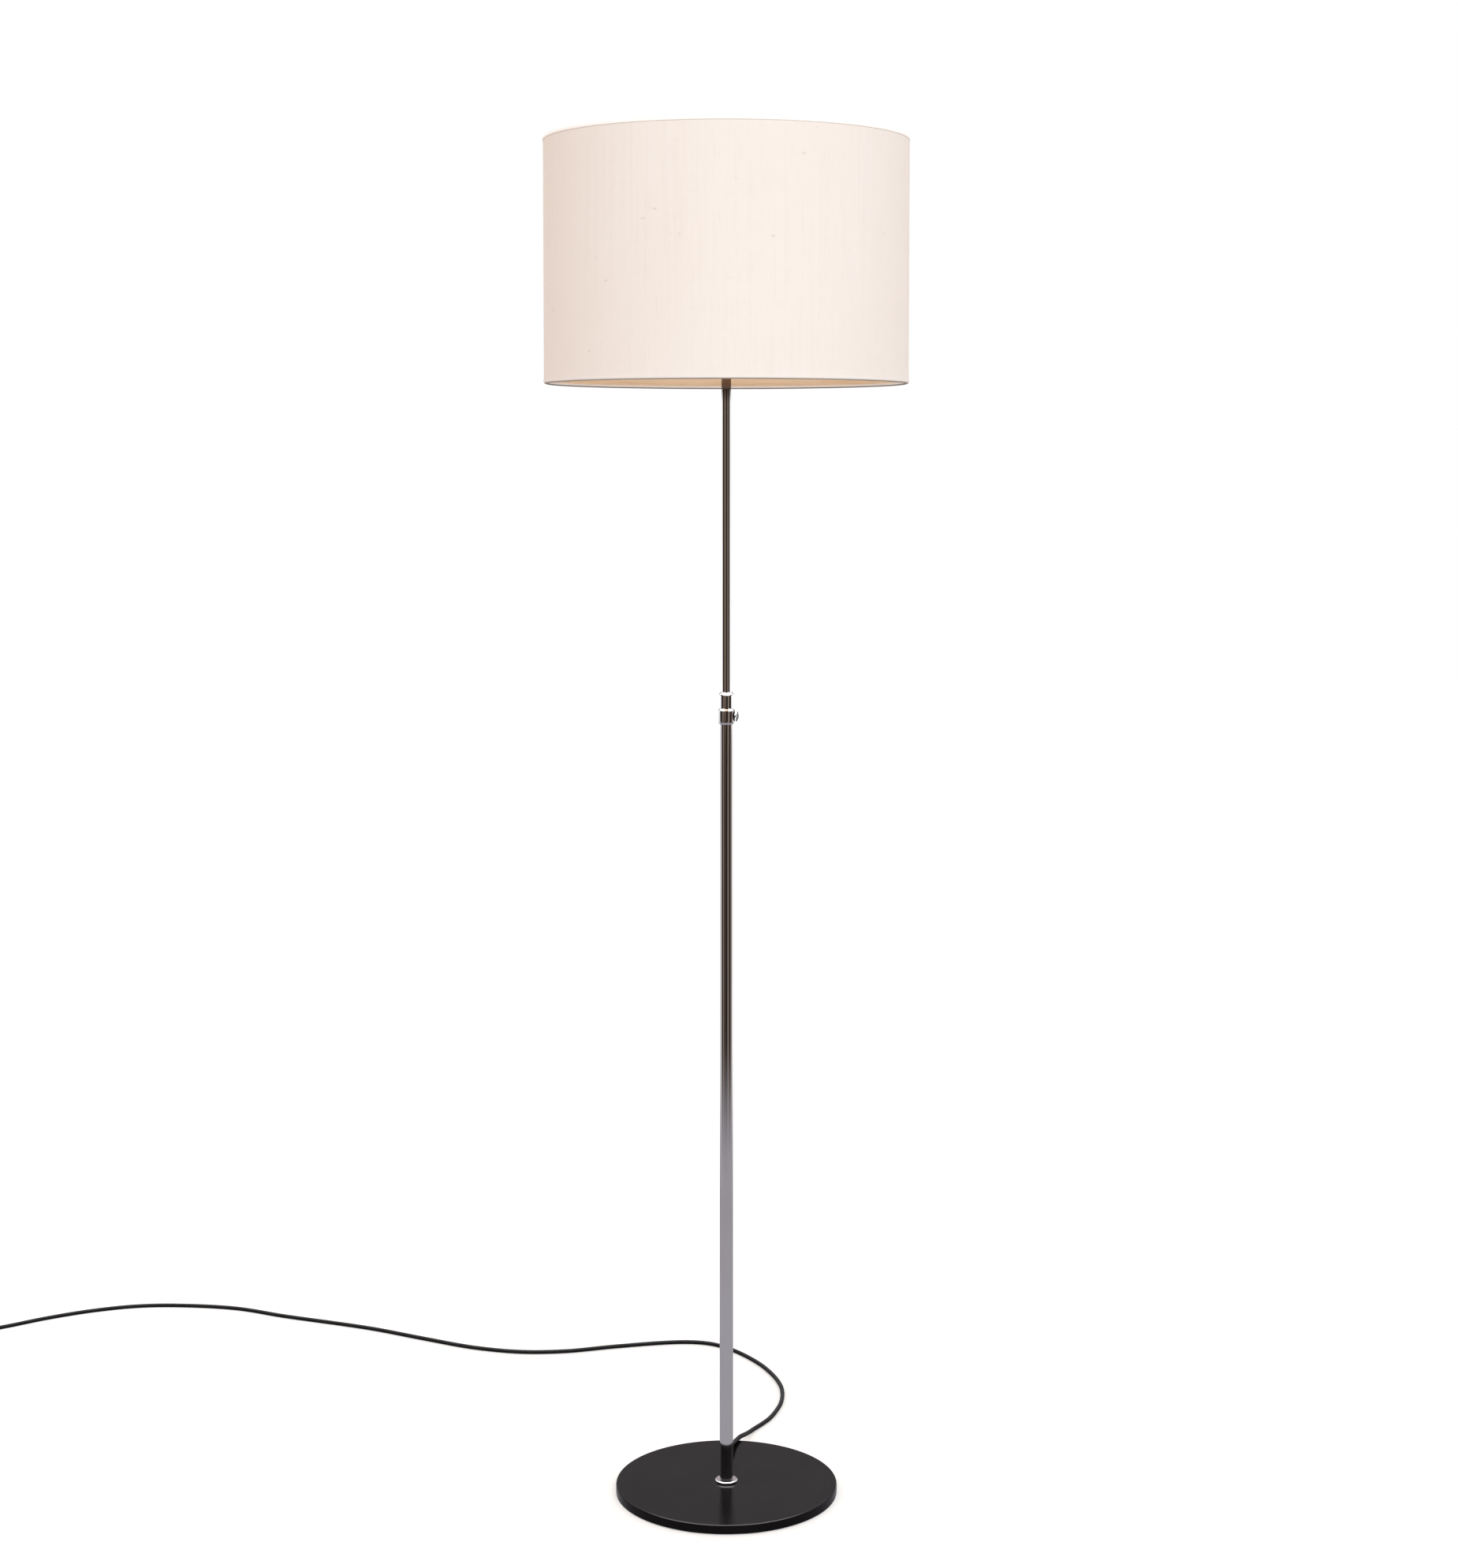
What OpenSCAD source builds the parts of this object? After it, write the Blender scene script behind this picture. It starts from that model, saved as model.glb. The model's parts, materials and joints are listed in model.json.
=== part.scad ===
// Telescopic floor lamp: round weighted base, two chromed tubes held by a thumb screw, drum shade.
// Frame: +Z up, origin on the floor under the mast, +Y to the back, where the cord leaves.

/* [Base] */
// Diameter of the round base
base_d = 280; // [220:1:360]
// Height of the base's top face above the floor
base_h = 12; // [10.5:0.5:18]
// Radius of the base's rounded top edge
base_edge_r = 2; // [1:0.5:6]
// Thickness of the pressed steel cover
cover_wall = 1.5; // [1:0.1:2]
// Thickness of the felt under the base
felt_t = 1; // [0.6:0.1:1.6]
// Diameter of the chromed ring at the foot of the mast
foot_ring_d = 28.6; // [24:0.2:36]
// Height of the chromed ring at the foot of the mast
foot_ring_h = 3; // [2:0.5:5]

/* [Outer tube] */
// Outside diameter of the outer tube
outer_d = 17; // [16:0.5:20]
// Wall of the outer tube
outer_wall = 1; // [0.8:0.1:1.2]
// Length of the outer tube above the base
outer_len = 1002; // [900:1:1100]
// Height of the cord's outlet above the base
outlet_rise = 24; // [22:1:30]

/* [Clamp] */
// Height of the clamp collar
collar_h = 19.5; // [14:0.5:24]
// Wall of the clamp collar
collar_wall = 2.2; // [1.9:0.1:2.6]
// Distance from the outer tube's top end down to the collar
collar_drop = 17; // [15:0.5:30]
// Diameter of the thumb screw's head
knob_d = 14.6; // [12:0.2:20]
// Height of the thumb screw's domed head
knob_h = 4.4; // [3.5:0.1:7]
// Diameter of the thumb screw's shank
screw_d = 5; // [4:0.5:6]
// Diameter of the flange of the top bush
flange_d = 19.4; // [18:0.2:24]
// Thickness of the flange of the top bush
flange_t = 3.5; // [2:0.5:5]

/* [Inner tube] */
// Outside diameter of the inner tube
inner_d = 12; // [11.6:0.1:12.4]
// Wall of the inner tube
inner_wall = 1; // [0.8:0.1:1.2]
// Length of the inner tube above the outer tube
inner_rise = 506; // [480:1:540]
// Length of the inner tube inside the outer tube
inner_overlap = 144; // [100:1:200]

/* [Shade] */
// Diameter of the drum shade
shade_d = 450; // [380:5:520]
// Height of the drum shade
shade_h = 300; // [260:5:340]
// Distance from the lamp holder's seat up to the top of the shade
shade_over_seat = 143; // [110:1:160]
// Thickness of the shade's fabric
fabric_t = 0.7; // [0.5:0.1:1]
// Thickness of the stiff liner behind the fabric
liner_t = 0.4; // [0.3:0.1:0.8]
// Diameter of the wire in the shade's top and bottom edges
rim_wire_d = 3.5; // [3:0.5:5]
// Diameter of the three arms' wire
arm_d = 4; // [3:0.5:5]
// Length of the arms' level stretch from the lamp's axis
arm_level = 62; // [45:1:90]

/* [Lamp holder and bulb] */
// Diameter of the holder's threaded skirt
skirt_d = 39.4; // [39:0.1:40]
// Diameter of the two rings that clamp the shade
clamp_ring_d = 56; // [50:1:60]
// Largest diameter of the bulb
bulb_d = 60; // [50:1:70]
// Length of the bulb's glass
bulb_len = 84; // [76:1:92]

/* [Cord and plug] */
// Diameter of the mains cord
cord_d = 5.8; // [5:0.1:6]
// Thickness of the plug
plug_t = 13.7; // [13:0.1:15]
// Width of the plug at its face
plug_w = 35; // [32:0.5:37]
// Length of the plug's body
plug_len = 37; // [30:1:42]

/* [Hidden] */
$fn = 96;

// Clearances
running_gap = 0.05;   // between a sliding or turning piece and its guide
seat_gap = 0.1;       // between a loose fitted piece and its seat
skin_gap = 0.3;       // between the base's weight and its cover
cut = 1;              // how far a cutting solid runs past a face

// Base
base_r = base_d / 2;
weight_t = base_h - felt_t - cover_wall;
weight_r = base_r - cover_wall - skin_gap;
felt_r = base_r - cover_wall;
inner_edge_r = max(base_edge_r - cover_wall, 0.3);
stud_r = 5;
washer_r = 12;
washer_t = 1.6;
nut_af = 16;
nut_h = 4;
pocket_r = washer_r + 2;
pocket_top_z = base_h - cover_wall - 3;
washer_z = pocket_top_z - washer_t;
nut_z = washer_z - nut_h;
stud_end_z = max(nut_z - 0.6, 0.2);
foot_rim_r = foot_ring_h / 2.5;

// Outer tube and clamp
outer_r = outer_d / 2;
outer_bore_r = outer_r - outer_wall;
outer_top_z = base_h + outer_len;
insert_h = 15;
outlet_z = base_h + outlet_rise;
collar_top_z = outer_top_z - collar_drop;
collar_bottom_z = collar_top_z - collar_h;
collar_r = outer_r + collar_wall;
collar_cone = [1.6, 2.2];
collar_round = [1.8, 4.2];
screw_rise = 0.7;
screw_z = collar_top_z - collar_h / 2 + screw_rise;
screw_r = screw_d / 2;
screw_hole_r = screw_r + running_gap;
inner_r = inner_d / 2;
slug_tip_x = inner_r + seat_gap;
slug_len = 1.9;
screw_tip_x = slug_tip_x + slug_len + running_gap;
knob_x = collar_r + 0.6;
knob_rim = 1.7;
knob_flutes = 36;
flute_r = 0.3;
bush_len = 13;
flange_chamfer = 0.2;
flange_cone = [1.7, 0.74 * flange_t];

// Inner tube
inner_bore_r = inner_r - inner_wall;
inner_bottom_z = outer_top_z - inner_overlap;
inner_top_z = outer_top_z + inner_rise;
guide_len = 24;
guide_lip = 2;
guide_bottom_z = inner_bottom_z - guide_lip - running_gap;

// Cord
cord_r = cord_d / 2;
cord_bore_r = cord_r + running_gap;
outlet_r = cord_r + 1.7;
relief_len = 20;
relief_flange_t = 1.5;
relief_root_r = cord_r + 1.9;
relief_tip_r = cord_r + 0.8;
relief_end_y = outer_r + relief_len;
lead_bend_r = 5;
lead_end_z = inner_top_z + 12;

// Lamp holder, from the inner tube's top end up
nipple_r = inner_bore_r - running_gap;
nipple_bore_r = cord_r + 0.4;
nipple_sink = 15;
nipple_rise = 10;
cap_neck_r = 8;
cap_neck_h = 7;
cap_h = 26;
cap_wall = 2.2;
cap_bottom_z = inner_top_z;
cap_top_z = cap_bottom_z + cap_h;
skirt_r = skirt_d / 2;
skirt_wall = 2.4;
skirt_h = 34;
skirt_bottom_z = cap_top_z;
skirt_flange_r = skirt_r + 1.5;
skirt_flange_h = 5;
clamp_ring_r = clamp_ring_d / 2;
clamp_ring_h = 6;
lower_ring_z = skirt_bottom_z + skirt_flange_h;
seat_z = lower_ring_z + clamp_ring_h;
fitter_t = 1.5;
fitter_r = clamp_ring_r + 4;
upper_ring_z = seat_z + fitter_t;
core_h = 7;
core_r = skirt_r - skirt_wall - running_gap;
core_top_z = skirt_bottom_z + core_h;
thread_pitch = 3.6;
cap_thread_r = 13.1;
cap_thread_depth = 0.5;
sleeve_r = cap_thread_r + 0.4;
sleeve_t = 0.4;
sleeve_h = 24;
contact_t = 0.5;
bulb_tip_z = core_top_z + 1.8;
bulb_thread_z = core_top_z + 2 * thread_pitch;
bulb_cap_h = 26;
bulb_glass_z = bulb_tip_z + bulb_cap_h;
bulb_r = bulb_d / 2;
glass_t = 0.8;
terminal_x = 8;
terminal_r = 1.5;
terminal_sink = 4;
terminal_head_h = 2;
core_wire_r = 0.9;
switch_r = 2.5;
switch_z = cap_bottom_z + 19;
switch_reach = skirt_r + 4.5;
switch_cam_r = 3.2;

// Shade
shade_r = shade_d / 2;
shade_top_z = seat_z + shade_over_seat;
shade_bottom_z = shade_top_z - shade_h;
wire_r = rim_wire_d / 2;
wire_gap = 0.3;
roll_r = fabric_t + liner_t / 2 + wire_r + wire_gap;
rim_ring_r = shade_r - fabric_t - liner_t - wire_gap - wire_r;
tuck_h = wire_r + 2.5;
arm_r = arm_d / 2;
arm_angles = [90, 210, 330];
arm_z = seat_z + fitter_t / 2;
arm_end_z = shade_top_z - roll_r;
arm_bend_r = 14;
arm_bend_steps = 6;
arm_sides = 16;
arm_slope = atan2(arm_end_z - arm_z, rim_ring_r - arm_level);
bend_run = arm_bend_r * tan(arm_slope / 2);
arm_slant = norm([rim_ring_r - arm_level, arm_end_z - arm_z]);

// Cord route, chosen by hand, from the outlet behind the mast over the base and along the floor to the coil
floor_z = 2.95;
coil_z = 3.8;
route = [
    [0, 28.5, 36], [0, 36, 36], [0.4, 46, 35.5], [1.4, 58, 33.4], [3, 72, 29.6], [5, 87, 25],
    [7.6, 104, 20.4], [10.5, 120, 17], [14, 133, 15.1], [17.8, 144, 14.5], [21.5, 156, 11.9],
    [26, 171, 8.3], [31, 187, 5.1], [38, 204, 3.4], [47, 220, floor_z], [58, 241, floor_z],
    [67, 267, floor_z], [75, 300, floor_z],
    [78, 336, floor_z], [76, 370, floor_z], [66, 412, floor_z], [45, 463, floor_z], [10, 516, floor_z],
    [-26, 546, floor_z], [-75, 552, floor_z], [-165, 533, floor_z], [-235, 513, floor_z],
    [-302, 510, floor_z], [-373, 529, floor_z], [-448, 567, floor_z], [-540, 616, floor_z],
    [-676, 671, floor_z], [-752, 706, floor_z], [-828, 720, floor_z], [-904, 719, floor_z],
    [-972, 697, floor_z], [-1034, 662, floor_z], [-1088, 622, floor_z], [-1119, 603, 3.3], [-1150, 600, coil_z]];
route_before = [0, 21, 36];
route_after = [-1181, 603, coil_z];
route_steps = 2;
route_sides = 8;

// Coil of the cord's unseen length: two turns in on the tie, half a turn up, then out again on top
coil_centre = [-1150, 636];
coil_out_r = 36;
coil_pitch = 6;
coil_turns_in = 2;
coil_turns_out = 1.5;
coil_steps = 24;
coil_sides = 6;
coil_in_r = coil_out_r - coil_pitch * coil_turns_in;
coil_top_z = coil_z + coil_pitch;
coil_tail = 50;

// Strap round the coil's turns, at the side away from the plug
tie_t = 0.8;
tie_w = 6;
tie_inner_h = 12;
tie_from_r = 24.4;
tie_to_r = 32.4;

// Plug, lying flat beside the coil with its pins along -X
plug_x = coil_centre[0] - coil_tail;
plug_y = coil_centre[1] - coil_in_r - coil_pitch * coil_turns_out;
plug_z = plug_t / 2;
plug_relief_len = 20;
plug_rear_w = 13;
plug_rear_t = 9;
plug_face_x = plug_x - plug_relief_len - plug_len;
pin_r = 2;
pin_len = 19;
pin_neck_r = 1.5;
pin_neck_len = 0.3;
pin_sink = 3;
pin_spacing = 18.6;

// Colours
black_lacquer = [0.06, 0.06, 0.065];
iron = [0.25, 0.25, 0.26];
felt_green = [0.10, 0.11, 0.10];
chrome = [0.78, 0.78, 0.80];
dark_chrome = [0.36, 0.36, 0.37];
steel = [0.60, 0.61, 0.63];
brass = [0.78, 0.62, 0.30];
nylon = [0.88, 0.87, 0.82];
bakelite = [0.09, 0.08, 0.08];
ceramic = [0.90, 0.89, 0.85];
glass = [0.96, 0.96, 0.94];
cream = [0.95, 0.90, 0.85];
tan = [0.85, 0.71, 0.57];
white_wire = [0.92, 0.91, 0.89];
cord_black = [0.08, 0.08, 0.085];

// ---------- Shared shapes ----------

// Half profile of a disc with a rounded upper outer corner
module disc_profile(r, h, edge) {
    square([r - edge, h]);
    square([r, h - edge]);
    translate([r - edge, h - edge])
        intersection() {
            circle(edge);
            square(edge);
        }
}

// Tube or ring standing at z
module ring(z, h, r_out, r_in) {
    translate([0, 0, z])
        difference() {
            cylinder(h = h, r = r_out);
            translate([0, 0, -cut])
                cylinder(h = h + 2 * cut, r = r_in);
        }
}

// Ring standing at z with a chamfered lower corner, and an upper one cut back over its own width and height
module chamfered_ring(z, h, r_out, r_in, chamfer, upper) {
    translate([0, 0, z])
        rotate_extrude()
            polygon([[r_in, 0], [r_out - chamfer, 0], [r_out, chamfer], [r_out, h - upper[1]],
                [r_out - upper[0], h], [r_in, h]]);
}

// Round bar along X at the clamp's height
module screw_bar(r, from_x, to_x) {
    translate([from_x, 0, screw_z])
        rotate([0, 90, 0])
            cylinder(h = to_x - from_x, r = r);
}

// Round bar along +Y at the outlet's height
module outlet_bar(r, from_y, to_y) {
    translate([0, from_y, outlet_z])
        rotate([-90, 0, 0])
            cylinder(h = to_y - from_y, r = r);
}

// Closed faceted tube along a line of points, for a line that is never upright
function direction(p, i) = p[min(i + 1, len(p) - 1)] - p[max(i - 1, 0)];
function unit(v) = v / norm(v);
function ring_points(centre, along, r, sides) =
    let (side = unit(cross(along, [0, 0, 1])), up = cross(side, along))
    [for (k = [0 : sides - 1]) centre + r * (cos(360 * k / sides) * side + sin(360 * k / sides) * up)];
function tube_points(line, r, sides) =
    [for (i = [0 : len(line) - 1]) each ring_points(line[i], unit(direction(line, i)), r, sides)];
function tube_faces(rings, sides) = [
    for (i = [0 : rings - 2], k = [0 : sides - 1], half = [0, 1])
        let (a = i * sides + k, b = i * sides + (k + 1) % sides)
        half == 0 ? [a, b, b + sides] : [a, b + sides, a + sides],
    for (k = [1 : sides - 2]) [0, k + 1, k],
    for (k = [1 : sides - 2]) let (last = (rings - 1) * sides) [last, last + k, last + k + 1]];
module tube(line, r, sides) {
    polyhedron(points = tube_points(line, r, sides), faces = tube_faces(len(line), sides), convexity = 10);
}

// Smooth line through the route's own points
function between(a, b, c, d, t) =
    0.5 * (2 * b + (c - a) * t + (2 * a - 5 * b + 4 * c - d) * t * t + (3 * b - a - 3 * c + d) * t * t * t);
function smooth_line(points, before, after, steps) =
    let (p = concat([before], points, [after]), n = len(points))
    concat([for (i = [0 : n - 2], s = [0 : steps - 1]) between(p[i], p[i + 1], p[i + 2], p[i + 3], s / steps)],
        [points[n - 1]]);
function line_length(line, i = 0) = i >= len(line) - 1 ? 0 : norm(line[i + 1] - line[i]) + line_length(line, i + 1);

// ---------- Base ----------

module base_cover() {
    color(black_lacquer)
        difference() {
            translate([0, 0, felt_t])
                rotate_extrude()
                    disc_profile(base_r, base_h - felt_t, base_edge_r);
            translate([0, 0, felt_t])
                rotate_extrude()
                    disc_profile(base_r - cover_wall, weight_t, inner_edge_r);
            translate([0, 0, felt_t - cut])
                cylinder(h = 2 * cut, r = base_r - cover_wall);
            cylinder(h = base_h + cut, r = stud_r + seat_gap);
        }
}

module base_weight() {
    color(iron)
        difference() {
            translate([0, 0, felt_t])
                rotate_extrude()
                    disc_profile(weight_r, weight_t, inner_edge_r);
            cylinder(h = base_h, r = stud_r + seat_gap);
            cylinder(h = pocket_top_z, r = pocket_r);
        }
}

module base_felt() {
    color(felt_green)
        ring(0, felt_t, felt_r, pocket_r + 2);
}

// Chromed ring on the base round the mast, with a rounded rim
module foot_ring() {
    color(chrome)
        translate([0, 0, base_h])
            rotate_extrude()
                difference() {
                    disc_profile(foot_ring_d / 2, foot_ring_h, foot_rim_r);
                    translate([0, -cut])
                        square([outer_r + seat_gap, foot_ring_h + 2 * cut]);
                }
}

module foot_insert() {
    color(steel)
        union() {
            translate([0, 0, base_h])
                cylinder(h = insert_h, r = outer_bore_r - running_gap);
            translate([0, 0, stud_end_z])
                cylinder(h = base_h - stud_end_z + cut, r = stud_r);
        }
}

module foot_washer() {
    color(steel)
        ring(washer_z, washer_t, washer_r, stud_r + seat_gap);
}

module foot_nut() {
    color(steel)
        translate([0, 0, nut_z])
            difference() {
                cylinder(h = nut_h, r = nut_af / sqrt(3), $fn = 6);
                translate([0, 0, -cut])
                    cylinder(h = nut_h + 2 * cut, r = stud_r + running_gap);
            }
}

// ---------- Outer tube and clamp ----------

module outer_tube() {
    color(chrome)
        difference() {
            ring(base_h, outer_len, outer_r, outer_bore_r);
            outlet_bar(outlet_r, 0, outer_r + cut);
            screw_bar(screw_hole_r, 0, outer_r + cut);
        }
}

// Rubber bush in the cord's outlet, with a saddle flange and a tapered sleeve
module cord_bush() {
    color(cord_black)
        difference() {
            union() {
                outlet_bar(outlet_r - running_gap, outer_bore_r - 1, outer_r + cut);
                difference() {
                    outlet_bar(outlet_r + 1, outer_r - 3, outer_r + relief_flange_t);
                    cylinder(h = outlet_z + 2 * outlet_r, r = outer_r + running_gap);
                }
                translate([0, outer_r + relief_flange_t, outlet_z])
                    rotate([-90, 0, 0])
                        cylinder(h = relief_len - relief_flange_t, r1 = relief_root_r, r2 = relief_tip_r);
            }
            outlet_bar(cord_bore_r, 0, relief_end_y + cut);
        }
}

module clamp_collar() {
    color(chrome)
        difference() {
            translate([0, 0, collar_bottom_z])
                rotate_extrude()
                    polygon(concat([[outer_r + running_gap, collar_h], [outer_r + running_gap, 0]],
                        [for (a = [90 : -15 : 0]) [collar_r - collar_round[0] * (1 - cos(a)),
                            collar_round[1] * (1 - sin(a))]],
                        [[collar_r, collar_h - collar_cone[1]], [collar_r - collar_cone[0], collar_h]]));
            screw_bar(screw_hole_r, 0, collar_r + cut);
        }
}

module top_bush() {
    color(chrome)
        union() {
            chamfered_ring(outer_top_z, flange_t, flange_d / 2, inner_r + running_gap, flange_chamfer,
                flange_cone);
            ring(outer_top_z - bush_len, bush_len + cut, outer_bore_r - running_gap, inner_r + running_gap);
        }
}

// Soft plug between the thumb screw and the inner tube
module clamp_slug() {
    color(brass)
        screw_bar(screw_r - 0.2, slug_tip_x, slug_tip_x + slug_len);
}

// Thumb screw: shank, and a domed head with a fluted rim, turned about X
module thumb_screw() {
    dome_h = knob_h - knob_rim;
    dome_r = (knob_d * knob_d / 4 + dome_h * dome_h) / (2 * dome_h);
    color(dark_chrome)
        union() {
            screw_bar(screw_r, screw_tip_x, knob_x + knob_rim / 2);
            translate([knob_x, 0, screw_z])
                rotate([0, 90, 0])
                    difference() {
                        intersection() {
                            cylinder(h = knob_h, r = knob_d / 2);
                            translate([0, 0, knob_h - dome_r])
                                sphere(r = dome_r);
                        }
                        for (i = [0 : knob_flutes - 1])
                            rotate([0, 0, 360 * i / knob_flutes])
                                translate([knob_d / 2 + flute_r / 2, 0, -cut])
                                    cylinder(h = knob_h + 2 * cut, r = flute_r);
                    }
        }
}

// ---------- Inner tube and its lead ----------

module inner_tube() {
    color(chrome)
        ring(inner_bottom_z, inner_top_z - inner_bottom_z, inner_r, inner_bore_r);
}

// Nylon sleeve at the inner tube's lower end, with a lip under the tube
module guide_bush() {
    color(nylon)
        union() {
            ring(guide_bottom_z, guide_lip, outer_bore_r - running_gap, cord_r + seat_gap);
            ring(guide_bottom_z + guide_lip, guide_len, outer_bore_r - running_gap, inner_r + running_gap);
        }
}

// The cord inside the mast: in through the outlet and round an elbow
module lead_elbow() {
    color(cord_black)
        union() {
            outlet_bar(cord_r, lead_bend_r, relief_end_y);
            translate([0, lead_bend_r, outlet_z + lead_bend_r])
                rotate([0, 90, 0])
                    rotate([0, 0, -90])
                        rotate_extrude(angle = 90)
                            translate([lead_bend_r, 0])
                                circle(cord_r);
        }
}

// The cord's straight stretch in the outer tube, up to the inner tube's end
module lower_lead() {
    color(cord_black)
        translate([0, 0, outlet_z + lead_bend_r])
            cylinder(h = inner_bottom_z - outlet_z - lead_bend_r, r = cord_r);
}

module upper_lead() {
    color(cord_black)
        translate([0, 0, inner_bottom_z])
            cylinder(h = lead_end_z - inner_bottom_z, r = cord_r);
}

// ---------- Lamp holder ----------

module nipple() {
    color(steel)
        ring(inner_top_z - nipple_sink, nipple_sink + nipple_rise, nipple_r, nipple_bore_r);
}

// Half profile of the holder's lower cap: a neck, a shoulder and a rim
module cap_profile(inset) {
    shoulder_z = cap_neck_h + 6;
    polygon([[0, 0], [cap_neck_r - inset, 0], [cap_neck_r - inset, cap_neck_h],
        for (a = [0 : 10 : 90])
            [cap_neck_r - inset + (skirt_r - cap_neck_r) * sin(a),
                cap_neck_h + (shoulder_z - cap_neck_h) * (1 - cos(a))],
        [skirt_r - inset, cap_h], [0, cap_h]]);
}

module holder_cap() {
    color(bakelite)
        translate([0, 0, cap_bottom_z])
            difference() {
                rotate_extrude()
                    cap_profile(0);
                translate([0, 0, cap_wall])
                    rotate_extrude()
                        cap_profile(cap_wall);
                translate([0, 0, -cut])
                    cylinder(h = cap_h, r = nipple_r + running_gap);
                translate([0, 0, switch_z - cap_bottom_z])
                    rotate([90, 0, 0])
                        cylinder(h = 2 * switch_reach, r = switch_r + running_gap, center = true);
            }
}

// Push-through bar of the switch, with its cam in the middle
module switch_bar() {
    color(bakelite)
        translate([0, 0, switch_z])
            rotate([90, 0, 0])
                union() {
                    cylinder(h = 2 * (switch_reach - switch_r), r = switch_r, center = true);
                    cylinder(h = 6, r = switch_cam_r, center = true);
                    for (side = [-1, 1])
                        translate([0, 0, side * (switch_reach - switch_r)])
                            sphere(r = switch_r);
                }
}

module holder_shell() {
    color(bakelite)
        union() {
            ring(skirt_bottom_z, skirt_h, skirt_r, skirt_r - skirt_wall);
            chamfered_ring(skirt_bottom_z, skirt_flange_h, skirt_flange_r, skirt_r - skirt_wall, 0.6,
                [0.6, 0.6]);
        }
}

module holder_core() {
    color(ceramic)
        difference() {
            translate([0, 0, skirt_bottom_z])
                cylinder(h = core_h, r = core_r);
            for (side = [-1, 1])
                translate([side * terminal_x, 0, skirt_bottom_z - cut])
                    cylinder(h = terminal_sink + cut, r = terminal_r + running_gap);
        }
}

// Two screws that hold the cores of the lead under the insulating block
module terminal_screws() {
    color(brass)
        for (side = [-1, 1])
            translate([side * terminal_x, 0, skirt_bottom_z]) {
                cylinder(h = terminal_sink, r = terminal_r);
                translate([0, 0, -terminal_head_h])
                    cylinder(h = terminal_head_h, r = terminal_r + 1.1);
            }
}

// The lead's two cores, from the end of its sheath out to the terminals
module lead_cores() {
    from = [1.4, 0, lead_end_z + core_wire_r / 2];
    to = [terminal_x, 0, skirt_bottom_z - terminal_head_h - core_wire_r / 2];
    span = to - from;
    color(cord_black)
        for (side = [0, 180])
            rotate([0, 0, side])
                translate(from)
                    rotate([0, atan2(span[0], span[2]), 0])
                        cylinder(h = norm(span), r = core_wire_r);
}

// Half profile of a rolled screw thread, as a wave of the thread's pitch
function thread_wave(r, depth, h) =
    [for (z = [0 : thread_pitch / 9 : h]) [r + depth * (cos(360 * z / thread_pitch) - 1) / 2, z]];

module socket_sleeve() {
    outside = thread_wave(sleeve_r + sleeve_t, cap_thread_depth, sleeve_h);
    inside = thread_wave(sleeve_r, cap_thread_depth, sleeve_h);
    color(brass)
        translate([0, 0, core_top_z])
            rotate_extrude()
                polygon(concat(outside, [for (i = [len(inside) - 1 : -1 : 0]) inside[i]]));
}

module centre_contact() {
    color(brass)
        union() {
            translate([-2.5, -9, core_top_z])
                cube([5, 12, contact_t]);
            translate([0, 0, core_top_z])
                cylinder(h = bulb_tip_z - core_top_z - running_gap, r = 2);
        }
}

module fluted_ring(z) {
    flutes = 36;
    difference() {
        chamfered_ring(z, clamp_ring_h, clamp_ring_r, skirt_r + seat_gap, 0.8, [0.8, 0.8]);
        for (i = [0 : flutes - 1])
            rotate([0, 0, 360 * i / flutes])
                translate([clamp_ring_r + 0.5, 0, z - cut])
                    cylinder(h = clamp_ring_h + 2 * cut, r = 1);
    }
}

module lower_clamp_ring() {
    color(bakelite)
        fluted_ring(lower_ring_z);
}

module upper_clamp_ring() {
    color(bakelite)
        fluted_ring(upper_ring_z);
}

// ---------- Bulb ----------

module bulb_cap() {
    thread_h = bulb_thread_z - bulb_tip_z;
    wave = thread_wave(cap_thread_r, cap_thread_depth, bulb_cap_h - thread_h - 0.6);
    color(steel)
        translate([0, 0, bulb_tip_z])
            rotate_extrude()
                polygon(concat([[0, 0], [4.5, 0], [5, 1.2], [11, 4]],
                    [for (p = wave) [p[0], p[1] + thread_h]],
                    [[cap_thread_r - cap_thread_depth, bulb_cap_h], [0, bulb_cap_h]]));
}

// Half profile of the bulb's glass: a neck that swells into a round top
bulb_neck_r = cap_thread_r - cap_thread_depth - 0.1;
bulb_ball_z = bulb_len - bulb_r;
bulb_neck_steps = 18;
function bulb_outline(inset) = concat(
    [for (i = [0 : bulb_neck_steps]) let (t = i / bulb_neck_steps)
        [bulb_neck_r + (bulb_r - bulb_neck_r) * pow((1 - cos(180 * t)) / 2, 0.9) - inset, t * bulb_ball_z]],
    [for (a = [5 : 5 : 90]) [(bulb_r - inset) * cos(a), bulb_ball_z + (bulb_r - inset) * sin(a)]]);

module bulb_glass() {
    color(glass)
        translate([0, 0, bulb_glass_z])
            rotate_extrude()
                difference() {
                    polygon(concat([[0, 0]], bulb_outline(0)));
                    polygon(concat([[0, -cut], [bulb_neck_r - glass_t, -cut]], bulb_outline(glass_t)));
                }
}

// ---------- Shade ----------

module fitter_ring() {
    color(white_wire)
        ring(seat_z, fitter_t, fitter_r, skirt_r + seat_gap);
}

// Line of one arm in the XZ plane: level from the fitter ring, round the bend and up to the top wire
arm_line = concat(
    [[fitter_r, 0, arm_z]],
    [for (i = [0 : arm_bend_steps]) let (turn = arm_slope * i / arm_bend_steps)
        [arm_level - bend_run + arm_bend_r * sin(turn), 0, arm_z + arm_bend_r * (1 - cos(turn))]],
    [[arm_level, 0, arm_z] + (arm_slant - wire_r - seat_gap) * [cos(arm_slope), 0, sin(arm_slope)]]);

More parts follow.
